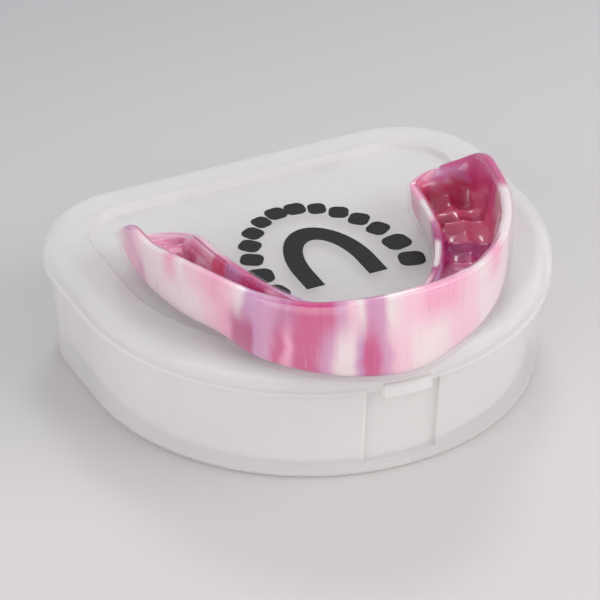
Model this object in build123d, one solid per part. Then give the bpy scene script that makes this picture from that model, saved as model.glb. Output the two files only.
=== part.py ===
from build123d import *
import math
import os

# Mouthguard lying on its closed storage case, in millimetres, +Z up.
# Origin: on the underside of the case, at the middle of the lid's width and depth.
# The hinge is at the back (+Y), the latch tab at the front (-Y).

# ---- Case: a D seen from above, round at the front, with the hinge along the straight back ----
CASE_WIDTH = 80.0
SIDE_LENGTH = 13.1
CORNER_RADIUS = 16.4
CASE_HEIGHT = 21.9
PARTING_HEIGHT = 17.05
PARTING_GAP = 0.15

FRONT_RADIUS = CASE_WIDTH / 2
CASE_DEPTH = FRONT_RADIUS + SIDE_LENGTH + CORNER_RADIUS
BACK_Y = CASE_DEPTH / 2
FRONT_Y = -CASE_DEPTH / 2
FRONT_CENTRE_Y = FRONT_Y + FRONT_RADIUS
CORNER_CENTRE_X = FRONT_RADIUS - CORNER_RADIUS
CORNER_CENTRE_Y = BACK_Y - CORNER_RADIUS

# Insets are measured inward from the lid's outer edge.
BASE_INSET = 0.8
BASE_TAPER = 1.4
BASE_WALL = 1.7
BASE_FLOOR = 1.5
BASE_FOOT_RADIUS = 1.2
BASE_INNER_RADIUS = 2.0
LIP_INSET = 1.7
LIP_TOP = 19.4
LID_WALL = 1.4
LID_THICKNESS = 1.3
LID_TOP_RADIUS = 3.0
LID_INNER_RADIUS = 1.7
RIM_WIDTH = 7.4
PANEL_HEIGHT = 20.8
PANEL_SLOPE = 0.7
PANEL_EDGE_RADIUS = 0.5

# ---- Front latch: a tab on the lid over a thumb recess in the base, and a snap bead on the lip ----
LATCH_X = -1.8
TAB_WIDTH = 8.2
TAB_BOTTOM = 16.1
TAB_TOP = 18.5
TAB_PROUD = 0.6
TAB_DEPTH = 0.6
RECESS_WIDTH = 12.6
RECESS_BOTTOM = 2.8
RECESS_DEPTH = 0.8
BEAD_WIDTH = 14.0
BEAD_PROUD = 0.18
BEAD_HEIGHT = 0.7
BEAD_TOP = 18.9

# ---- Hinge: a leaf and knuckle on the lid, with stub pins in two lugs on the base ----
HINGE_Y = BACK_Y + 1.15
HINGE_Z = 14.4
KNUCKLE_RADIUS = 1.75
KNUCKLE_HALF_LENGTH = 16.0
LEAF_FRONT_Y = BACK_Y - 0.45
LEAF_BACK_Y = BACK_Y + 1.05
LEAF_TOP = 18.6
PIN_RADIUS = 1.0
PIN_LENGTH = 4.3
BORE_RADIUS = 1.06
END_GAP = 0.3
LUG_LENGTH = 4.8
LUG_RADIUS = 1.9
LUG_TOP = 16.3
LUG_FOOT_Z = 9.5
LUG_ROOT_Y = BACK_Y - 2.0

# ---- Mouthguard: a U-shaped channel bent round a dental arch, open upwards ----
# The arch is two half ellipses about its own centre, and lies on the lid turned a little.
GUARD_X = -0.3
GUARD_Y = 6.9
GUARD_TURN = -3.2
OUTER_HALF_WIDTH_LEFT = 30.6
OUTER_HALF_WIDTH_RIGHT = 31.3
OUTER_REACH = 45.2
INNER_HALF_WIDTH = 17.8
INNER_REACH = 33.3
LEFT_LEG = 4.8
RIGHT_LEG = 0.8
CLEAR_LAYER = 0.6
COLOUR_LAYER = 1.8
BOND_LINE = 0.04
BITE_THICKNESS = 2.8
EDGE_ROUND = 1.5
THINNEST_SHARE = 0.3

# One row for each station of the closing end of a leg: distance from the end, share of the full
# channel width, height of the bottom, of the lingual rim and of the channel's floor.
LEFT_END_STATIONS = [
    (0.0, 0.45, 24.4, 25.3, 25.1),
    (0.8, 0.74, 23.2, 25.3, 24.6),
    (2.4, 0.94, 22.1, 25.5, 24.3),
    (4.8, 1.00, 21.5, 26.3, 24.3),
]
RIGHT_END_STATIONS = [
    (0.0, 0.45, 24.6, 27.5, 27.0),
    (0.8, 0.74, 23.3, 27.4, 26.5),
    (2.4, 0.94, 22.1, 27.3, 25.2),
    (4.8, 1.00, 21.5, 27.3, 24.3),
]
# Where the narrowed end lies across the channel: 0 at the tongue's side, 1 at the cheek's.
LEFT_END_SIDE = 0.8
RIGHT_END_SIDE = 0.5
# The rest of the arch: angle from the leg, then the same columns.
ARCH_STATIONS = [
    (14, 1.00, 21.3, 27.4, 24.1),
    (24, 1.00, 21.6, 27.6, 24.3),
    (34, 1.00, 22.1, 27.6, 24.8),
    (46, 1.00, 22.2, 27.5, 25.0),
    (60, 1.00, 22.2, 27.4, 25.0),
    (75, 1.00, 22.2, 27.5, 25.0),
]
FRONT_STATION = (90, 1.00, 22.2, 27.6, 25.0)

# Height and flare of the outer rim at the same stations, and how far the wall's foot stands out
# where the front teeth lean forward. The two sides of a cast are never alike.
LEFT_RIM = [25.7, 26.7, 28.4, 30.3, 32.4, 33.4, 33.8, 33.6, 34.0, 35.3]
LEFT_FLARE = [0.4, 0.9, 1.2, 1.3, 1.3, 1.2, 1.0, 0.8, 0.5, 0.3]
LEFT_FOOT = [0, 0, 0, 0, 0, 0, 0, 2.0, 2.7, 2.9]
RIGHT_RIM = [28.4, 29.3, 30.8, 32.0, 33.0, 33.8, 34.2, 34.4, 35.0, 36.1]
RIGHT_FLARE = [0.1, 0.2, 0.4, 0.5, 0.5, 0.5, 0.5, 0.4, 0.3, 0.3]
RIGHT_FOOT = [0, 0, 0, 0, 0, 0, 0, 0, 0, 0.5]
FRONT_RIM = 36.5
FRONT_FLARE = 0.2
FRONT_FOOT = 2.6

# ---- Print: a row of teeth and a guard's outline in ink on the lid's panel ----
PRINT_X = 1.0
PRINT_Y = -3.0
PRINT_THICKNESS = 0.1
TEETH_HALF_WIDTH = 12.4
TEETH_REACH = 19.0
TOOTH_SIZES = [(3.5, 3.4), (3.0, 3.2), (3.3, 3.4), (3.4, 3.6), (3.5, 3.8), (4.3, 4.5), (4.2, 4.4)]
TOOTH_ANGLES = [82, 66, 51, 37, 23, 7, -10]
MARK_OUTER = (7.2, 12.6)
MARK_INNER = (4.0, 8.8)
MARK_LEG = 4.5


def case_outline(inset, height):
    """The case's D as a face at a height, drawn in by an inset all round."""
    front = FRONT_RADIUS - inset
    corner = CORNER_RADIUS - inset
    diagonal = corner * math.sqrt(0.5)
    back = CORNER_CENTRE_Y + corner
    right_mid = (CORNER_CENTRE_X + diagonal, CORNER_CENTRE_Y + diagonal)
    left_mid = (-CORNER_CENTRE_X - diagonal, CORNER_CENTRE_Y + diagonal)
    edges = [
        ThreePointArc((-front, FRONT_CENTRE_Y), (0, FRONT_CENTRE_Y - front), (front, FRONT_CENTRE_Y)),
        Line((front, FRONT_CENTRE_Y), (front, CORNER_CENTRE_Y)),
        ThreePointArc((front, CORNER_CENTRE_Y), right_mid, (CORNER_CENTRE_X, back)),
        Line((CORNER_CENTRE_X, back), (-CORNER_CENTRE_X, back)),
        ThreePointArc((-CORNER_CENTRE_X, back), left_mid, (-front, CORNER_CENTRE_Y)),
        Line((-front, CORNER_CENTRE_Y), (-front, FRONT_CENTRE_Y)),
    ]
    return Pos(0, 0, height) * make_face(Curve() + edges)


def tapered_d(low_inset, low, high_inset, high):
    """A solid D that changes its inset evenly between two heights."""
    return loft([case_outline(low_inset, low), case_outline(high_inset, high)], ruled=True)


def straight_d(inset, low, high):
    """A solid D with upright sides."""
    return extrude(case_outline(inset, low), high - low)


def block(low, high):
    """A box given by its lowest and highest corners."""
    size = [b - a for a, b in zip(low, high)]
    middle = [(a + b) / 2 for a, b in zip(low, high)]
    return Pos(*middle) * Box(*size)


def bar_along_x(radius, start, end):
    """A round bar on the hinge axis between two places along X."""
    bar = Rot(0, 90, 0) * Cylinder(radius, end - start)
    return Pos((start + end) / 2, HINGE_Y, HINGE_Z) * bar


def front_block(width, low, high):
    """A box across the case's front at the latch, used to limit what is cut or added there."""
    return block((LATCH_X - width / 2, FRONT_Y - 5, low), (LATCH_X + width / 2, FRONT_Y + 5, high))


def base_inset_at(height):
    """Inset of the base's outer wall, which leans in towards the foot."""
    return BASE_INSET + BASE_TAPER * (PARTING_HEIGHT - height) / PARTING_HEIGHT


def make_lug(side):
    """One hinge lug on the back of the base, with a blind bore for the lid's stub pin."""
    inner = KNUCKLE_HALF_LENGTH + END_GAP
    profile = make_face(Polyline(
        (LUG_ROOT_Y, LUG_FOOT_Z),
        (HINGE_Y + LUG_RADIUS, HINGE_Z),
        (HINGE_Y, LUG_TOP),
        (LUG_ROOT_Y, LUG_TOP),
        close=True,
    ))
    ear = extrude(Plane.YZ.offset(inner) * profile, LUG_LENGTH)
    ear += bar_along_x(LUG_RADIUS, inner, inner + LUG_LENGTH)
    ear -= bar_along_x(BORE_RADIUS, inner - 1, KNUCKLE_HALF_LENGTH + PIN_LENGTH + END_GAP)
    return ear if side > 0 else mirror(ear, Plane.YZ)


def make_case_base():
    """D-shaped tub with a leaning wall, an upstanding lip, a thumb recess and hinge lugs."""
    foot_inset = base_inset_at(0)
    shell = tapered_d(foot_inset, 0, BASE_INSET, PARTING_HEIGHT)
    shell = fillet(shell.edges().group_by(Axis.Z)[0], BASE_FOOT_RADIUS)
    shell += straight_d(LIP_INSET, PARTING_HEIGHT - 1, LIP_TOP)
    lip_inner = BASE_INSET + BASE_WALL
    floor_inset = base_inset_at(BASE_FLOOR) + BASE_WALL
    hollow = tapered_d(floor_inset, BASE_FLOOR, lip_inner, PARTING_HEIGHT)
    hollow = fillet(hollow.edges().group_by(Axis.Z)[0], BASE_INNER_RADIUS)
    hollow += straight_d(lip_inner, PARTING_HEIGHT, LIP_TOP + 1)
    shell -= hollow
    recess = front_block(RECESS_WIDTH, RECESS_BOTTOM, PARTING_HEIGHT)
    recess -= tapered_d(foot_inset + RECESS_DEPTH, 0, BASE_INSET + RECESS_DEPTH, PARTING_HEIGHT)
    shell -= recess
    bead = straight_d(LIP_INSET - BEAD_PROUD, BEAD_TOP - BEAD_HEIGHT, BEAD_TOP)
    bead -= straight_d(LIP_INSET + 0.3, BEAD_TOP - 2 * BEAD_HEIGHT, BEAD_TOP + 1)
    shell += bead & front_block(BEAD_WIDTH, 0, CASE_HEIGHT)
    for side in (-1, 1):
        shell += make_lug(side)
    return shell


def make_case_lid():
    """D-shaped cap with a rounded rim, a sunk panel, a latch tab and the hinge leaf."""
    bottom = PARTING_HEIGHT + PARTING_GAP
    cap = straight_d(0, bottom, CASE_HEIGHT)
    cap = fillet(cap.edges().group_by(Axis.Z)[-1], LID_TOP_RADIUS)
    sunk = tapered_d(RIM_WIDTH + PANEL_SLOPE, PANEL_HEIGHT, RIM_WIDTH - PANEL_SLOPE, CASE_HEIGHT + 1)
    cap -= sunk
    cap = fillet(panel_edges(cap, PANEL_HEIGHT), PANEL_EDGE_RADIUS)
    cap = fillet(panel_edges(cap, CASE_HEIGHT), PANEL_EDGE_RADIUS)
    ceiling = CASE_HEIGHT - LID_THICKNESS
    hollow = straight_d(LID_WALL, bottom - 1, ceiling)
    hollow = fillet(hollow.edges().group_by(Axis.Z)[-1], LID_INNER_RADIUS)
    drop = tapered_d(RIM_WIDTH - LID_THICKNESS / 2, PANEL_HEIGHT - LID_THICKNESS,
                     RIM_WIDTH - LID_THICKNESS, ceiling + 1)
    hollow -= drop
    cap -= hollow
    tab = straight_d(-TAB_PROUD, TAB_BOTTOM, TAB_TOP) - straight_d(TAB_DEPTH, TAB_BOTTOM - 1, TAB_TOP + 1)
    cap += tab & front_block(TAB_WIDTH, 0, CASE_HEIGHT)
    cap += block((-KNUCKLE_HALF_LENGTH, LEAF_FRONT_Y, HINGE_Z), (KNUCKLE_HALF_LENGTH, LEAF_BACK_Y, LEAF_TOP))
    cap += bar_along_x(KNUCKLE_RADIUS, -KNUCKLE_HALF_LENGTH, KNUCKLE_HALF_LENGTH)
    pin_end = KNUCKLE_HALF_LENGTH + PIN_LENGTH
    cap += bar_along_x(PIN_RADIUS, -pin_end, pin_end)
    return cap


def panel_edges(cap, height):
    """The edges round the sunk panel at one height, and not the lid's outer ones."""
    level = cap.edges().filter_by_position(Axis.Z, height - 0.01, height + 0.01)
    return [e for e in level if abs((e @ 0.5).X) < FRONT_RADIUS - LID_TOP_RADIUS - 1
            and FRONT_Y + LID_TOP_RADIUS + 1 < (e @ 0.5).Y < BACK_Y - LID_TOP_RADIUS - 1
            or abs(abs((e @ 0.5).X) - (FRONT_RADIUS - RIM_WIDTH)) < 1.5]


def leg_spot(from_end, leg):
    """Angle and run of a station at a distance from the end of a leg of some length."""
    run = leg - from_end
    if run >= 0:
        return 0, run
    return math.degrees(-run / OUTER_REACH), 0


def side_stations(end_stations, leg):
    """All stations of one side, from the end of its leg to just short of the front."""
    ends = [(*leg_spot(from_end, leg), *rest) for from_end, *rest in end_stations]
    return ends + [(angle, 0, *rest) for angle, *rest in ARCH_STATIONS]


def arch_point(half_width, reach, angle, run):
    """A point on one side of a half ellipse, or on the straight leg behind it."""
    turn = math.radians(angle)
    return Vector(half_width * math.cos(turn), run - reach * math.sin(turn), 0)


def channel_section(station, rim, flare, foot, side, skin, core):
    """Closed outline of one layer of the channel at one station.

    skin and core are how far the layer's outer and inner faces lie inside the guard's surface.
    """
    angle, run, share, bottom, lingual, floor = station
    outer_half_width = OUTER_HALF_WIDTH_LEFT if side < 0 else OUTER_HALF_WIDTH_RIGHT
    end_side = LEFT_END_SIDE if side < 0 else RIGHT_END_SIDE
    outer = arch_point(outer_half_width, OUTER_REACH, angle, run)
    inner = arch_point(INNER_HALF_WIDTH, INNER_REACH, angle, run)
    across = (outer - inner) * share
    start = inner + (outer - inner - across) * end_side
    width = across.length
    way = across.normalized()
    thin = min(1, THINNEST_SHARE * width / (CLEAR_LAYER + COLOUR_LAYER))

    def place(offset, height):
        spot = start + way * offset
        return Vector(side * spot.X, spot.Y, height)

    def face(sheet, base):
        depth = sheet * thin
        lean = EDGE_ROUND * share**2
        rise = (base - bottom) + lean
        return [
            (depth * 0.9, lingual),
            (depth + 0.15, bottom + rise),
            (depth * 0.6 + lean, base),
            (width + foot - depth * 0.6 - lean, base),
            (width + foot - depth, bottom + rise),
            (width + flare - depth * 0.95, rim),
        ]

    outside = face(skin, bottom + (floor - bottom) * skin / BITE_THICKNESS)
    inside = face(core, bottom + (floor - bottom) * core / BITE_THICKNESS)
    points = [place(*p) for p in outside] + [place(*p) for p in reversed(inside)]
    return Wire.make_polygon(points, close=True)


def make_guard_layer(skin, core):
    """One layer of the guard, lofted round the arch from the left end to the right end."""
    left = list(zip(side_stations(LEFT_END_STATIONS, LEFT_LEG), LEFT_RIM, LEFT_FLARE, LEFT_FOOT))
    right = list(zip(side_stations(RIGHT_END_STATIONS, RIGHT_LEG), RIGHT_RIM, RIGHT_FLARE, RIGHT_FOOT))
    front = (FRONT_STATION[0], 0, *FRONT_STATION[1:])
    sections = [channel_section(*row, -1, skin, core) for row in left]
    sections.append(channel_section(front, FRONT_RIM, FRONT_FLARE, FRONT_FOOT, -1, skin, core))
    sections += [channel_section(*row, 1, skin, core) for row in reversed(right)]
    layer = Solid.make_loft(sections, ruled=False)
    return Pos(GUARD_X, GUARD_Y, 0) * Rot(0, 0, GUARD_TURN) * layer


def make_guard_clear_layer():
    """Clear outer sheet of the laminated mouthguard."""
    return make_guard_layer(0, CLEAR_LAYER)


def make_guard_colour_layer():
    """Marbled inner sheet of the laminated mouthguard, which the teeth bite into."""
    return make_guard_layer(CLEAR_LAYER + BOND_LINE, CLEAR_LAYER + COLOUR_LAYER)


def horseshoe(size):
    """A plain horseshoe face, open at the front, of a half width and a reach."""
    half_width, reach = size
    leg = -MARK_LEG
    arch = EllipticalCenterArc((0, 0), half_width, reach, start_angle=0, arc_size=180)
    sides = Polyline((-half_width, 0), (-half_width, leg), (half_width, leg), (half_width, 0))
    return make_face(Curve() + [arch, sides])


def make_lid_print():
    """Row of upper teeth round the outline of a guard, in ink on the sunk panel."""
    marks = Sketch()
    for side in (-1, 1):
        for angle, (width, depth) in zip(TOOTH_ANGLES, TOOTH_SIZES):
            turn = math.radians(angle)
            spot = (side * TEETH_HALF_WIDTH * math.cos(turn), TEETH_REACH * math.sin(turn))
            facing = math.degrees(math.atan2(spot[1], spot[0])) - 90
            tooth = RectangleRounded(width, depth, min(width, depth) * 0.36)
            marks += Pos(*spot) * Rot(0, 0, facing) * tooth
    marks += horseshoe(MARK_OUTER) - horseshoe(MARK_INNER)
    return extrude(Pos(PRINT_X, PRINT_Y, PANEL_HEIGHT) * marks, PRINT_THICKNESS)


def main():
    os.makedirs("parts", exist_ok=True)
    parts = {
        "case_base": make_case_base(),
        "case_lid": make_case_lid(),
        "lid_print": make_lid_print(),
        "guard_clear_layer": make_guard_clear_layer(),
        "guard_colour_layer": make_guard_colour_layer(),
    }
    for name, shape in parts.items():
        shape.label = name
        export_step(shape, f"parts/{name}.step")


main()
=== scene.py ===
import math

import bmesh
import bpy
import numpy as np
from mathutils import Matrix, Vector


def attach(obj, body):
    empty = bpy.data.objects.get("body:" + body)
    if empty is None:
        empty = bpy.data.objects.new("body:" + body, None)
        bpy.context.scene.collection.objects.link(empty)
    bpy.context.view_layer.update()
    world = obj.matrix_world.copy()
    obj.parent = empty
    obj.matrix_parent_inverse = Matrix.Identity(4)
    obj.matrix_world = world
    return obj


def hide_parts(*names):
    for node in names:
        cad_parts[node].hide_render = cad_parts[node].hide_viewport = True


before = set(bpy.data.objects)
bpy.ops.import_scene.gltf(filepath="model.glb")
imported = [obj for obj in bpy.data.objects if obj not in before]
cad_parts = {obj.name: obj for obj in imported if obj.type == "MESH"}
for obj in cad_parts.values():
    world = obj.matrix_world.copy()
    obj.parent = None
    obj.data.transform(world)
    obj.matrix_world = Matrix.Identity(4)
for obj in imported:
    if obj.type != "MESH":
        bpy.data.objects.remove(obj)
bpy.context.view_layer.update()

MM = 0.001

# ---------------------------------------------------------------------------------------------
# Table and light: a pale matt table top whose colour is painted darker and greyer towards the back,
# a painted shade standing in for the light falling off, lit by one broad soft box low on the front
# right, a weaker one on the left, a small one high at the back that puts glints on wet-looking
# edges, and an even glow from all round.
TABLE_SIZE = 3.0
TABLE_NEAR = (0.615, 0.59, 0.58)
# The far colour is painted shade: from TABLE_NEAR_Y to TABLE_FAR_Y the table is painted darker and greyer,
# standing in for the light falling off towards the back.
TABLE_FAR_PAINTED_SHADE = (0.41, 0.41, 0.415)
TABLE_NEAR_Y = -0.02
TABLE_FAR_Y = 0.20
LIGHT_AIM = Vector((0, 0, 0.02))


class Strand:
    """A number that runs through a material. Python's own operators add its Math nodes."""

    def __init__(self, finish, socket):
        self.finish = finish
        self.socket = socket

    def reckon(self, operation, *numbers):
        return self.finish.node("ShaderNodeMath", {"operation": operation}, numbers)

    def __add__(self, other):
        return self.reckon("ADD", self, other)

    def __radd__(self, other):
        return self.reckon("ADD", other, self)

    def __sub__(self, other):
        return self.reckon("SUBTRACT", self, other)

    def __rsub__(self, other):
        return self.reckon("SUBTRACT", other, self)

    def __mul__(self, other):
        return self.reckon("MULTIPLY", self, other)

    def __rmul__(self, other):
        return self.reckon("MULTIPLY", other, self)

    def __truediv__(self, other):
        return self.reckon("DIVIDE", self, other)

    def __pow__(self, other):
        return self.reckon("POWER", self, other)

    def ramp(self, low, high):
        """0 below low and 1 above high, with a soft shoulder at each end."""
        values = {"Value": self, "From Min": low, "From Max": high}
        return self.finish.node("ShaderNodeMapRange", {"interpolation_type": "SMOOTHSTEP"}, values)


class Finish:
    """One material, built from the surface up: its pattern first and its shader last."""

    # Blender numbers the Mix node's colour sockets so, factor and result included.
    FACTOR, FIRST, SECOND, RESULT = 0, 6, 7, 2

    def __init__(self, name):
        self.material = bpy.data.materials.new(name)
        self.material.use_nodes = True
        self.tree = self.material.node_tree
        self.tree.nodes.clear()

    def node(self, kind, settings, inputs, output=0):
        """Adds a node, sets it, feeds its sockets by name or in order, and hands back one output."""
        made = self.tree.nodes.new(kind)
        for key, value in settings.items():
            if key == "stops":
                self.set_stops(made.color_ramp, value)
            else:
                setattr(made, key, value)
        pairs = inputs.items() if isinstance(inputs, dict) else enumerate(inputs)
        for key, value in pairs:
            socket = made.inputs[key]
            if isinstance(value, Strand):
                self.tree.links.new(value.socket, socket)
            else:
                socket.default_value = value
        return Strand(self, made.outputs[output]) if made.outputs else None

    def set_stops(self, ramp, stops):
        ramp.interpolation = "EASE"
        while len(ramp.elements) < len(stops):
            ramp.elements.new(1.0)
        for element, (place, colour) in zip(ramp.elements, stops):
            element.position = place
            element.color = (*colour, 1.0)

    def mix(self, factor, first, second):
        """Mixes two colours by a factor."""
        colours = [c if isinstance(c, Strand) else (*c, 1.0) for c in (first, second)]
        values = {self.FACTOR: factor, self.FIRST: colours[0], self.SECOND: colours[1]}
        return self.node("ShaderNodeMix", {"data_type": "RGBA"}, values, self.RESULT)

    def place(self):
        """Where a point of the piece lies, in metres, at rest."""
        return self.node("ShaderNodeTexCoord", {}, {}, "Object")

    def stretched(self, point, scale):
        return self.node("ShaderNodeMapping", {}, {"Vector": point, "Scale": scale})

    def noise(self, point, scale, detail=3.0, roughness=0.5, distortion=0.0):
        values = {"Vector": point, "Scale": scale, "Detail": detail, "Roughness": roughness,
                  "Distortion": distortion}
        return self.node("ShaderNodeTexNoise", {"noise_dimensions": "3D"}, values)

    def bump(self, height, depth, strength=1.0):
        return self.node("ShaderNodeBump", {}, {"Height": height, "Distance": depth, "Strength": strength})

    def attribute(self, name):
        return self.node("ShaderNodeAttribute", {"attribute_name": name}, {}, "Fac")

    def surface(self, shader):
        """Closes the material with its shader."""
        self.node("ShaderNodeOutputMaterial", {}, {"Surface": shader})
        return self.material


def table_top_painted_shade():
    finish = Finish("table_top_painted_shade")
    point = finish.place()
    along = finish.node("ShaderNodeSeparateXYZ", {}, {"Vector": point}, "Y")
    # Painted shade: the colour darkens towards the back of the table in place of the light falling off.
    colour = finish.mix(along.ramp(TABLE_NEAR_Y, TABLE_FAR_Y), TABLE_NEAR, TABLE_FAR_PAINTED_SHADE)
    grain = finish.noise(point, 900.0, 4.0)
    shader = finish.node("ShaderNodeBsdfPrincipled", {}, {
        "Base Color": colour, "Roughness": 0.62 + grain * 0.1, "Specular IOR Level": 0.25,
        "Normal": finish.bump(grain, 0.00003, 0.3),
    })
    return finish.surface(shader)


def add_mesh(name, points, faces, material, smooth=True):
    """A mesh object from points in metres."""
    mesh = bpy.data.meshes.new(name)
    mesh.from_pydata([tuple(p) for p in points], [], faces)
    mesh.validate()
    skin = bmesh.new()
    skin.from_mesh(mesh)
    bmesh.ops.recalc_face_normals(skin, faces=skin.faces)
    skin.to_mesh(mesh)
    skin.free()
    piece = bpy.data.objects.new(name, mesh)
    bpy.context.scene.collection.objects.link(piece)
    mesh.materials.append(material)
    mesh.polygons.foreach_set("use_smooth", [smooth] * len(mesh.polygons))
    return piece


def add_softbox(name, place, size, watts, tint):
    """A square soft box that faces the case."""
    lamp = bpy.data.lights.new(name, "AREA")
    lamp.shape = "SQUARE"
    lamp.size = size
    lamp.energy = watts
    lamp.color = tint
    holder = bpy.data.objects.new(name, lamp)
    bpy.context.scene.collection.objects.link(holder)
    holder.location = place
    holder.rotation_mode = "QUATERNION"
    holder.rotation_quaternion = (LIGHT_AIM - Vector(place)).to_track_quat("-Z", "Y")


half = TABLE_SIZE / 2
floor = add_mesh("floor", [(-half, -half, 0), (half, -half, 0), (half, half, 0), (-half, half, 0)],
                 [(0, 1, 2, 3)], table_top_painted_shade(), smooth=False)

add_softbox("key_softbox", (0.48, -0.50, 0.42), 0.65, 4.2, (1.0, 0.985, 0.97))
add_softbox("fill_softbox", (-0.62, -0.34, 0.25), 0.60, 2.6, (1.0, 0.99, 0.98))
add_softbox("back_softbox", (0.22, 0.42, 0.66), 0.20, 1.1, (0.97, 0.985, 1.0))

world = bpy.data.worlds.new("studio")
bpy.context.scene.world = world
world.use_nodes = True
world.node_tree.nodes["Background"].inputs["Color"].default_value = (0.92, 0.94, 1.0, 1.0)
world.node_tree.nodes["Background"].inputs["Strength"].default_value = 0.64

# ---------------------------------------------------------------------------------------------
# Camera: a long lens from the front left, looking down at the closed case.
CAMERA_AZIMUTH = -25.66
CAMERA_HEIGHT = 32.28
CAMERA_ROLL = 0.08
CAMERA_DISTANCE = 0.8
CAMERA_AIM = Vector((0.00564, 0.01981, 0.0))
CAMERA_LENS = 285.3
SENSOR_WIDTH = 36

azimuth = math.radians(CAMERA_AZIMUTH)
height = math.radians(CAMERA_HEIGHT)
back = Vector((math.sin(azimuth) * math.cos(height), -math.cos(azimuth) * math.cos(height), math.sin(height)))
lens = bpy.data.cameras.new("camera")
lens.lens = CAMERA_LENS
lens.sensor_width = SENSOR_WIDTH
camera = bpy.data.objects.new("camera", lens)
bpy.context.scene.collection.objects.link(camera)
camera.location = CAMERA_AIM + back * CAMERA_DISTANCE
camera.rotation_mode = "QUATERNION"
turn = Matrix.Rotation(math.radians(CAMERA_ROLL), 3, "Z").to_quaternion()
camera.rotation_quaternion = (-back).to_track_quat("-Z", "Y") @ turn
bpy.context.scene.camera = camera
bpy.context.scene.view_settings.view_transform = "Standard"

# ---------------------------------------------------------------------------------------------
# Case base: a D-shaped tub, injection moulded in milky polypropylene about 1.7 mm thick. The
# outside has a fine satin surface from the mould; the thickness blurs what lies inside.
POLYPROPYLENE_IOR = 1.49
FLOW_SHADE = 0.975
# Painted reflection: a dim bluish grey that the plastic's colour is painted towards where it is seen edge-on,
# standing in for the darker surroundings reflected there.
EDGE_ON_PAINTED_REFLECTION = (0.56, 0.59, 0.62)


def moulded_plastic(name, colour, cover, roughness):
    finish = Finish(name)
    point = finish.place()
    flow = finish.noise(finish.stretched(point, (1.0, 1.0, 0.35)), 55.0, 3.0, 0.5, 0.6)
    grain = finish.noise(point, 1400.0, 2.0)
    wear = finish.noise(point, 160.0, 4.0, 0.6)
    tone = finish.mix(flow.ramp(0.35, 0.7), colour, tuple(c * FLOW_SHADE for c in colour))
    # Where the surface is seen edge-on, its colour is mixed towards the dim bluish grey: a painted reflection
    # and shade that follows the camera.
    edge_on = finish.node("ShaderNodeLayerWeight", {}, {"Blend": 0.5}, "Facing")
    tone = finish.mix(edge_on.ramp(0.62, 0.98) * 0.55, tone, EDGE_ON_PAINTED_REFLECTION)
    shader = finish.node("ShaderNodeBsdfPrincipled", {}, {
        "Base Color": tone,
        "Roughness": roughness + wear.ramp(0.45, 0.75) * 0.07,
        "IOR": POLYPROPYLENE_IOR,
        "Alpha": cover + flow.ramp(0.3, 0.75) * 0.06,
        "Normal": finish.bump(grain * 0.35 + flow, 0.00004, 0.35),
    })
    return finish.surface(shader)


def dress(node, material):
    """Gives a CAD node its finish."""
    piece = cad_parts[node]
    piece.data.materials.clear()
    piece.data.materials.append(material)
    return piece


dress("case_base", moulded_plastic("milky_base", (0.885, 0.85, 0.835), 0.45, 0.28))

# ---------------------------------------------------------------------------------------------
# Case lid: a D-shaped cap of the same plastic, a little clearer, with its sunk panel polished.
dress("case_lid", moulded_plastic("milky_lid", (0.885, 0.865, 0.85), 0.33, 0.18))

# ---------------------------------------------------------------------------------------------
# Lid print: screen-printed black ink, a row of teeth round the outline of a guard. Ink dries
# with a slight orange-peel and thins at its edges.
def printed_ink():
    finish = Finish("black_ink")
    point = finish.place()
    peel = finish.noise(point, 2600.0, 3.0)
    pinholes = finish.noise(point, 1200.0, 2.0)
    colour = finish.mix(pinholes.ramp(0.62, 0.8), (0.006, 0.006, 0.007), (0.02, 0.02, 0.021))
    shader = finish.node("ShaderNodeBsdfPrincipled", {}, {
        "Base Color": colour, "Roughness": 0.5 + peel * 0.2, "Specular IOR Level": 0.3,
        "Normal": finish.bump(peel, 0.00002, 0.4),
    })
    return finish.surface(shader)


dress("lid_print", printed_ink())

# ---------------------------------------------------------------------------------------------
# Mouthguard, marbled sheet: pink and white EVA drawn down hot over a cast of the upper teeth. It
# is a channel bent round the arch, closed at both ends, its floor dented by each tooth.
GUARD_X = -0.3 * MM
GUARD_Y = 6.9 * MM
GUARD_TURN = math.radians(-3.2)
OUTER_HALF_WIDTH_LEFT = 30.6 * MM
OUTER_HALF_WIDTH_RIGHT = 31.3 * MM
OUTER_REACH = 45.2 * MM
INNER_HALF_WIDTH = 17.8 * MM
INNER_REACH = 33.3 * MM
LEFT_LEG = 4.8
RIGHT_LEG = 0.8
CLOSING_LENGTH = 4.8
LEFT_END_SIDE = 0.8
RIGHT_END_SIDE = 0.5
END_WALL = 2.3
EDGE_ROUND = 1.1 * MM
CLEAR_SHEET = 0.6 * MM
COLOUR_SHEET = 1.8 * MM
BOND_LINE = 0.04 * MM
THINNEST_SHARE = 0.3
MM_PER_DEGREE = 0.79
EVA_IOR = 1.48

# How finely the sheets are drawn: steps along each leg and the arch, and rows of points across the
# outer face, the inner face and each rounded rim.
LEFT_LEG_STEPS = 24
ARCH_STEPS = 361
RIGHT_LEG_STEPS = 9
OUTER_ROWS = 48
INNER_ROWS = 80
RIM_ROWS = 5
# Fine points of the section: how far the walls are set in above the foot, how full the rims are, the
# square of the smallest share of the width at the tips, and where the end walls start and level off.
WALL_SET_IN = 0.15 * MM
FOOT_SET_IN = 0.1 * MM
RIM_FULLNESS = 0.45
TIP_SHARE_SQUARED = 0.02
END_WALL_START = END_WALL * 1.9
END_WALL_RUN = END_WALL * 1.1

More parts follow.
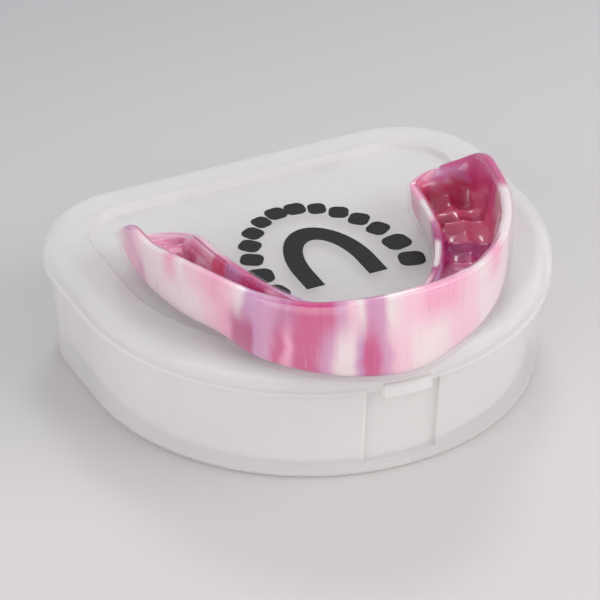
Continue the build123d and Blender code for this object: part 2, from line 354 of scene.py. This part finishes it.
# Shape round the arch, in millimetres. A place is an angle in degrees, 0 where the left leg ends
# and 180 at the right one; below 0 and above 180 it is millimetres back along a leg.
PLACES = [-4.8, -4.0, -2.4, 0, 14, 24, 34, 46, 60, 75, 90,
          105, 120, 134, 146, 156, 166, 174.9, 178.0, 180.0, 180.8]
LEFT_BOTTOM = [24.2, 23.2, 22.2, 21.5, 21.3, 21.6, 22.1, 22.2, 22.2, 22.2]
RIGHT_BOTTOM = [25.8, 23.8, 22.2, 21.5, 21.3, 21.6, 22.1, 22.2, 22.2, 22.2]
FRONT_BOTTOM = 22.2
LEFT_FLOOR = [24.8, 24.6, 24.4, 24.3, 24.1, 24.3, 24.8, 25.0, 25.0, 25.0]
RIGHT_FLOOR = [27.6, 27.0, 25.6, 24.4, 24.1, 24.3, 24.8, 25.0, 25.0, 25.0]
FRONT_FLOOR = 25.0
LEFT_LINGUAL_RIM = [24.9, 24.8, 24.9, 25.7, 27.2, 27.6, 27.6, 27.5, 27.4, 27.5]
RIGHT_LINGUAL_RIM = [28.3, 28.0, 27.5, 27.3, 27.4, 27.6, 27.6, 27.5, 27.4, 27.5]
FRONT_LINGUAL_RIM = 27.6
LEFT_RIM = [25.8, 26.2, 27.7, 29.8, 32.2, 33.4, 33.8, 33.6, 34.0, 35.3]
LEFT_FLARE = [0.4, 0.9, 1.2, 1.3, 1.3, 1.2, 1.0, 0.8, 0.5, 0.3]
LEFT_FOOT = [0, 0, 0, 0, 0, 0, 0, 2.0, 2.7, 2.9]
RIGHT_RIM = [28.6, 29.2, 30.7, 32.0, 33.0, 33.8, 34.2, 34.4, 35.0, 35.9]
RIGHT_FLARE = [0.1, 0.2, 0.4, 0.5, 0.5, 0.5, 0.5, 0.4, 0.3, 0.3]
RIGHT_FOOT = [0, 0, 0, 0, 0, 0, 0, 0, 0, 0.5]
FRONT_RIM = 36.1
FRONT_FLARE = 0.2
FRONT_FOOT = 2.6


def drawn_through(values):
    """A value at every place along the arch, drawn smoothly through the given ones."""
    knots = np.array(PLACES)
    values = np.array(values, float)
    slopes = np.gradient(values, knots)
    spot = np.clip(np.searchsorted(knots, where) - 1, 0, len(knots) - 2)
    gap = knots[spot + 1] - knots[spot]
    t = np.clip((where - knots[spot]) / gap, 0, 1)
    low, high = values[spot], values[spot + 1]
    rise = (2 * t**3 - 3 * t**2 + 1) * low + (3 * t**2 - 2 * t**3) * high
    lean = (t**3 - 2 * t**2 + t) * gap * slopes[spot] + (t**3 - t**2) * gap * slopes[spot + 1]
    return (rise + lean) * MM


def arch_curve(left_half_width, right_half_width, reach):
    """Points of a half ellipse with straight legs, before the arch is turned and placed."""
    turn = np.radians(np.clip(where, 0, 180))
    leg = np.maximum(np.maximum(-where, where - 180), 0) * MM
    half_width = np.where(where < 90, left_half_width, right_half_width)
    return np.stack([-half_width * np.cos(turn), leg - reach * np.sin(turn)], 1)


def rounded_path(corners, steps):
    """A quadratic B-spline through rows of corners, clamped at its two ends."""
    count = len(corners)
    knots = np.concatenate([[0, 0], np.arange(count - 1), [count - 2, count - 2]]).astype(float)
    path = []
    for u in np.linspace(0, count - 2, steps):
        span = min(int(u), count - 3)
        points = [corners[span + i] for i in range(3)]
        for level in (1, 2):
            for i in range(2, level - 1, -1):
                low = knots[span + i]
                high = knots[span + i + 3 - level]
                mix = (u - low) / (high - low)
                points[i] = points[i - 1] * (1 - mix) + points[i] * mix
        path.append(points[2])
    return np.array(path)


where = np.concatenate([np.linspace(-LEFT_LEG, 0, LEFT_LEG_STEPS, endpoint=False),
                        np.linspace(0, 180, ARCH_STEPS),
                        np.linspace(180, 180 + RIGHT_LEG, RIGHT_LEG_STEPS)[1:]])
from_left = np.where(where < 0, where, where * MM_PER_DEGREE) + LEFT_LEG
from_right = np.where(where > 180, 180 - where, (180 - where) * MM_PER_DEGREE) + RIGHT_LEG
from_end = np.minimum(from_left, from_right)
closing = 1 - (1 - np.minimum(from_end / CLOSING_LENGTH, 1)) ** 3
share = np.sqrt(np.maximum(closing, TIP_SHARE_SQUARED))
outer_line = arch_curve(OUTER_HALF_WIDTH_LEFT, OUTER_HALF_WIDTH_RIGHT, OUTER_REACH)
inner_line = arch_curve(INNER_HALF_WIDTH, INNER_HALF_WIDTH, INNER_REACH)
across = (outer_line - inner_line) * share[:, None]
end_side = np.where(where < 90, LEFT_END_SIDE, RIGHT_END_SIDE)
start = inner_line + (outer_line - inner_line - across) * end_side[:, None]
width = np.linalg.norm(across, axis=1)
way = across / width[:, None]
bottom = drawn_through(LEFT_BOTTOM + [FRONT_BOTTOM] + RIGHT_BOTTOM[::-1])
channel_floor = drawn_through(LEFT_FLOOR + [FRONT_FLOOR] + RIGHT_FLOOR[::-1])
lingual_rim = drawn_through(LEFT_LINGUAL_RIM + [FRONT_LINGUAL_RIM] + RIGHT_LINGUAL_RIM[::-1])
flare = drawn_through(LEFT_FLARE + [FRONT_FLARE] + RIGHT_FLARE[::-1])
foot = drawn_through(LEFT_FOOT + [FRONT_FOOT] + RIGHT_FOOT[::-1])
outer_rim = drawn_through(LEFT_RIM + [FRONT_RIM] + RIGHT_RIM[::-1])
middle_line = start + across / 2
step_lengths = np.linalg.norm(np.diff(middle_line, axis=0), axis=1)
from_front = np.concatenate([[0], np.cumsum(step_lengths)])
from_front -= np.interp(90, where, from_front)


def face_path(depth, steps):
    """The channel's face at a depth under its outer skin: rows from the lingual to the outer rim."""
    d = depth * np.minimum(1, THINNEST_SHARE * width / (CLEAR_SHEET + COLOUR_SHEET))
    lean = EDGE_ROUND * share
    base = bottom + (channel_floor - bottom) * depth / (CLEAR_SHEET + COLOUR_SHEET)
    corners = [
        (d * 0.9, lingual_rim),
        (d + WALL_SET_IN, (lingual_rim + base + lean) / 2),
        (d + FOOT_SET_IN, base + lean),
        (d * 0.8 + lean, base),
        (width / 2, base),
        (width + foot - d * 0.8 - lean, base),
        (width + foot - d, base + lean),
        (width + foot * 0.5 + flare * 0.45 - d, (outer_rim + base + lean) / 2),
        (width + flare - d * 0.95, outer_rim),
    ]
    return rounded_path(np.array([np.stack([o, z], 1) for o, z in corners]), steps)


def closed_ends(rows):
    """Lifts the inner face into a wall across each end, level until it climbs the outer wall."""
    wall = np.clip((END_WALL_START - from_end) / END_WALL_RUN, 0, 1)
    wall = (wall * wall * (3 - 2 * wall))[:, None]
    q = np.linspace(0, 1, len(rows))[:, None, None]
    chord = rows[0][None] * (1 - q) + rows[-1][None] * q
    chord[:, :, 1] = rows[0, :, 1] + (rows[-1, :, 1] - rows[0, :, 1]) * q[:, :, 0] ** 3
    return rows * (1 - wall) + chord * wall


# Widths of the teeth from the middle of the front back, and how deep each presses into the floor
# and walls, all in millimetres. The first three are front teeth, then two premolars and two molars.
TOOTH_WIDTHS = [8.9, 7.0, 8.0, 7.3, 7.2, 10.8, 9.6]
FIRST_PREMOLAR = 3
FIRST_MOLAR = 5
RIDGE_BETWEEN_TEETH = 1.4
CUSP_PIT = 1.3
FISSURE_RIDGE = 0.3
PREMOLAR_PIT = 0.65
PREMOLAR_RIDGE = 0.35
FRONT_TOOTH_DENT = 0.5
WALL_BULGE = 0.35
WALL_PINCH = 0.6
FADE_LENGTH = 4


def hump(value, middle, spread, sharpness=2):
    """1 at the middle, falling off smoothly to 0 a little beyond the spread on both sides."""
    return np.exp(-np.abs((value - middle) / spread) ** sharpness)


def impressed(rows):
    """Dents the channel's inner face: scalloped walls, and a floor of pits and ridges."""
    edges = np.concatenate([[0], np.cumsum(TOOTH_WIDTHS)]) * MM
    tooth = np.clip(np.searchsorted(edges, np.abs(from_front), side="right") - 1, 0, len(TOOTH_WIDTHS) - 1)
    on_tooth = (np.abs(from_front) - edges[tooth]) / (edges[tooth + 1] - edges[tooth]) * 2 - 1
    molar = tooth >= FIRST_MOLAR
    premolar = (tooth >= FIRST_PREMOLAR) & (tooth < FIRST_MOLAR)
    front_tooth = tooth < FIRST_PREMOLAR
    belly = np.maximum(1 - on_tooth**2, 0)
    contact = hump(np.abs(on_tooth), 1, 0.24)
    ease = np.clip((from_end - END_WALL) / FADE_LENGTH, 0, 1)
    normal = np.gradient(rows, axis=0)
    normal = np.stack([normal[:, :, 1], -normal[:, :, 0]], 2)
    normal /= np.maximum(np.linalg.norm(normal, axis=2), 1e-9)[:, :, None]
    dented = rows.copy()
    for i, q in enumerate(np.linspace(-1, 1, len(rows))):
        on_floor = hump(q, 0, 0.5, 4)
        wall = (WALL_BULGE * belly - WALL_PINCH * contact) * (1 - on_floor) * hump(abs(q), 0.6, 0.28)
        cusps = hump(np.abs(on_tooth), 0.5, 0.27) * hump(abs(q), 0.22, 0.13)
        fissure = hump(on_tooth, 0, 0.22) + hump(q, 0, 0.09)
        single_cusp = hump(on_tooth, 0, 0.5) * hump(abs(q), 0.22, 0.14)
        bite = molar * (CUSP_PIT * cusps - FISSURE_RIDGE * fissure)
        bite += premolar * (PREMOLAR_PIT * single_cusp - PREMOLAR_RIDGE * hump(q, 0, 0.07))
        bite += front_tooth * FRONT_TOOTH_DENT * belly
        bite -= RIDGE_BETWEEN_TEETH * contact
        dented[i] += normal[i] * ((wall + on_floor * bite) * ease * MM)[:, None]
    return dented


def half_round(first, last, before):
    """Rows round a rim, from the end of one face to the end of the other."""
    middle = (first + last) / 2
    arm = (first - last) / 2
    out = first - before
    out /= np.maximum(np.linalg.norm(out, axis=1), 1e-9)[:, None]
    reach = out * np.linalg.norm(arm, axis=1)[:, None] * RIM_FULLNESS
    turns = np.linspace(0, math.pi, RIM_ROWS + 2)[1:-1]
    return [middle + arm * math.cos(t) + reach * math.sin(t) for t in turns]


# The colour ramps run from a little before the left end to a little past the right one.
FIRST_DEGREE = -10
DEGREES = 200


def ramp_place(degree):
    """Where a place round the arch lies on a colour ramp, from 0 to 1."""
    return (degree - FIRST_DEGREE) / DEGREES


def keep(piece, name, values):
    """Stores one number a point on a piece, for its material to read."""
    layer = piece.data.attributes.new(name, "FLOAT", "POINT")
    layer.data.foreach_set("value", np.asarray(values, np.float32))


def make_sheet(name, skin, core, dents, material):
    """One sheet of the guard, skinned between two depths, with round rims and closed ends."""
    outside = face_path(skin, OUTER_ROWS)
    inside = closed_ends(face_path(core, INNER_ROWS))
    if dents:
        inside = impressed(inside)
    outer_cap = half_round(outside[-1], inside[-1], outside[-2])
    lingual_cap = half_round(inside[0], outside[0], inside[1])
    loop = np.array(list(outside) + outer_cap + list(inside[::-1]) + lingual_cap)
    flat = start[None] + way[None] * loop[:, :, :1]
    turned = flat @ np.array(Matrix.Rotation(GUARD_TURN, 2)).T + (GUARD_X, GUARD_Y)
    points = np.concatenate([turned, loop[:, :, 1:]], 2).transpose(1, 0, 2).reshape(-1, 3)
    around, along = loop.shape[:2]
    faces = [tuple(range(around - 1, -1, -1)), tuple((along - 1) * around + i for i in range(around))]
    for j in range(along - 1):
        for i in range(around):
            k = (i + 1) % around
            faces.append((j * around + i, j * around + k, (j + 1) * around + k, (j + 1) * around + i))
    piece = add_mesh(name, points, faces, material)
    side = [np.linspace(-1, 1, OUTER_ROWS), np.ones(RIM_ROWS), np.linspace(1, -1, INNER_ROWS),
            -np.ones(RIM_ROWS)]
    inner = [np.zeros(OUTER_ROWS), np.linspace(0, 1, RIM_ROWS), np.ones(INNER_ROWS),
             np.linspace(1, 0, RIM_ROWS)]
    keep(piece, "angle", np.repeat(ramp_place(where), around))
    keep(piece, "side", np.tile(np.concatenate(side), along))
    keep(piece, "inner", np.tile(np.concatenate(inner), along))
    return piece


# The colours of the melt, and the streaks that the draw leaves, each at a place round the arch as
# above: by the foot and by the rim of the outer wall, on the outside of the wall by the tongue, on
# its inside, and on the channel's floor.
SHELL = (0.77, 0.66, 0.66)
PETAL = (0.80, 0.50, 0.58)
CANDY = (0.79, 0.34, 0.48)
MAUVE = (0.58, 0.27, 0.43)
LILAC = (0.52, 0.25, 0.45)
DUSTY = (0.48, 0.14, 0.30)
ROSE = (0.54, 0.055, 0.20)
MAGENTA = (0.38, 0.012, 0.14)
CORAL = (0.62, 0.09, 0.18)
CRIMSON = (0.42, 0.012, 0.065)
STREAKS_BY_FOOT = [(-6, CANDY), (4, CANDY), (8, MAUVE), (10.5, SHELL), (27, SHELL), (32, PETAL),
                   (37, CANDY), (40.8, MAGENTA), (45, MAGENTA), (47, LILAC), (50, MAUVE), (53, ROSE),
                   (55.5, CANDY), (58, ROSE), (62, ROSE), (66, MAUVE), (69.5, SHELL), (72, SHELL),
                   (74.5, LILAC), (76, ROSE), (78.5, ROSE), (81.5, MAUVE), (85, PETAL), (92, SHELL),
                   (100, SHELL), (106, PETAL), (114, PETAL), (119, SHELL), (157, SHELL), (163, PETAL),
                   (168, CANDY), (182, PETAL)]
STREAKS_BY_RIM = [(-6, PETAL), (-2, SHELL), (4, MAUVE), (8, PETAL), (11, SHELL), (16, SHELL), (20, CANDY),
                  (23.5, SHELL), (27, PETAL), (35, CANDY), (39, PETAL), (41.5, SHELL), (44, LILAC),
                  (50, MAUVE), (54, DUSTY), (59, ROSE), (66, ROSE), (69, MAUVE), (73, PETAL), (75, SHELL),
                  (77, MAUVE), (81, MAUVE), (84, SHELL), (90, PETAL), (97, CANDY), (104, CANDY),
                  (112, PETAL), (116, SHELL), (126, CANDY), (135, SHELL), (156, SHELL), (161, ROSE)]
STREAKS_BEHIND = [(-6, CANDY), (10, PETAL), (30, ROSE), (50, LILAC), (75, CANDY), (100, SHELL), (120, PETAL),
                  (127, MAGENTA), (130, SHELL), (143, SHELL), (147, MAGENTA), (154, DUSTY), (158, PETAL),
                  (161, SHELL), (168, SHELL), (173, CANDY), (181, CANDY)]
STREAKS_LINGUAL = [(-6, PETAL), (1, CANDY), (5, CANDY), (9, PETAL), (14, PETAL), (17, CORAL), (21, CORAL),
                   (24, LILAC), (27, LILAC), (30, ROSE), (37, ROSE), (41, CANDY), (48, ROSE), (56, LILAC),
                   (62, ROSE), (90, CANDY), (110, PETAL), (124, LILAC), (130, DUSTY), (134, MAGENTA),
                   (149, MAGENTA), (153, CORAL), (157, CRIMSON), (164, CRIMSON), (169, CORAL), (177, CORAL),
                   (181, CANDY)]
STREAKS_ON_FLOOR = [(-6, CANDY), (8, ROSE), (20, CANDY), (36, ROSE), (60, ROSE), (90, CANDY), (130, CANDY),
                    (142, ROSE), (150, MAGENTA), (155, CORAL), (161, CORAL), (164, CRIMSON), (168, CORAL),
                    (172, CORAL), (176, CRIMSON), (180, DUSTY)]


def marbled_eva():
    finish = Finish("marbled_eva")
    point = finish.place()
    angle = finish.attribute("angle")
    side = finish.attribute("side")
    inside = finish.attribute("inner").ramp(0.45, 0.95)
    swirl = finish.noise(point, 110.0, 2.0, 0.5, 0.8)
    drawn = finish.node("ShaderNodeCombineXYZ", {}, (angle * 60, side * 0.8, inside * 2))
    threads = finish.noise(drawn, 3.0, 4.0, 0.6)

    def streaks(places, sway):
        stops = [(ramp_place(degree), colour) for degree, colour in places]
        return finish.node("ShaderNodeValToRGB", {"stops": stops}, {"Fac": angle + (swirl - 0.5) * sway})

    by_rim = streaks(STREAKS_BY_RIM, 0.02)
    wall = finish.mix((side + (swirl - 0.5) * 0.10).ramp(0.77, 0.97), streaks(STREAKS_BY_FOOT, 0.02), by_rim)
    wall = finish.mix(side.ramp(-0.2, -0.5), wall, streaks(STREAKS_BEHIND, 0.05))
    channel = finish.mix((side + (swirl - 0.5) * 0.5).ramp(-0.75, -0.25), streaks(STREAKS_LINGUAL, 0.05),
                         streaks(STREAKS_ON_FLOOR, 0.07))
    channel = finish.mix((side + (swirl - 0.5) * 0.5).ramp(0.45, 0.95) * 0.8, channel, by_rim)
    colour = finish.mix(inside, wall, channel)
    brink = finish.attribute("inner").ramp(0.5, 0.75) * finish.attribute("inner").ramp(1.0, 0.8)
    patches = finish.noise(drawn, 0.22, 1.0).ramp(0.47, 0.56)
    colour = finish.mix(brink * patches * 0.8, colour, MAGENTA)
    colour = finish.mix(threads.ramp(0.55, 0.8) * 0.25, colour, SHELL)
    colour = finish.mix(threads.ramp(0.5, 0.25) * (0.12 + inside * 0.4), colour, MAGENTA)
    beads = finish.noise(point, 900.0, 2.0, 0.6)
    relief = swirl * 0.4 + beads * (0.1 + inside * 0.25)
    shader = finish.node("ShaderNodeBsdfPrincipled", {}, {
        "Base Color": colour, "Roughness": 0.24 + threads * 0.1, "IOR": EVA_IOR,
        "Coat Weight": 0.55 + inside * 0.15, "Coat Roughness": 0.05,
        "Normal": finish.bump(relief, 0.00035, 0.35),
    })
    return finish.surface(shader)


marbled_sheet = make_sheet("guard_marbled_sheet", CLEAR_SHEET + BOND_LINE, CLEAR_SHEET + COLOUR_SHEET, True,
                           marbled_eva())
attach(marbled_sheet, "mouthguard")
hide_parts("guard_colour_layer")

# ---------------------------------------------------------------------------------------------
# Mouthguard, clear sheet: a thin clear EVA skin laminated over the marbled one, glossy from the
# vacuum former, with its trimmed edge flamed smooth.
def clear_eva():
    finish = Finish("clear_eva")
    # Seen edge-on the sheet shows more of its pale pink. This is partly the haze of a longer path through the
    # clear EVA and partly a painted pale reflection along its outline.
    edge_on = finish.node("ShaderNodeLayerWeight", {}, {"Blend": 0.35}, "Facing")
    shader = finish.node("ShaderNodeBsdfPrincipled", {}, {
        "Base Color": (0.88, 0.66, 0.74, 1), "Roughness": 0.06, "IOR": EVA_IOR,
        "Alpha": 0.03 + edge_on * 0.22,
    })
    return finish.surface(shader)


clear_sheet = make_sheet("guard_clear_sheet", 0.0, CLEAR_SHEET, False, clear_eva())
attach(clear_sheet, "mouthguard")
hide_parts("guard_clear_layer")
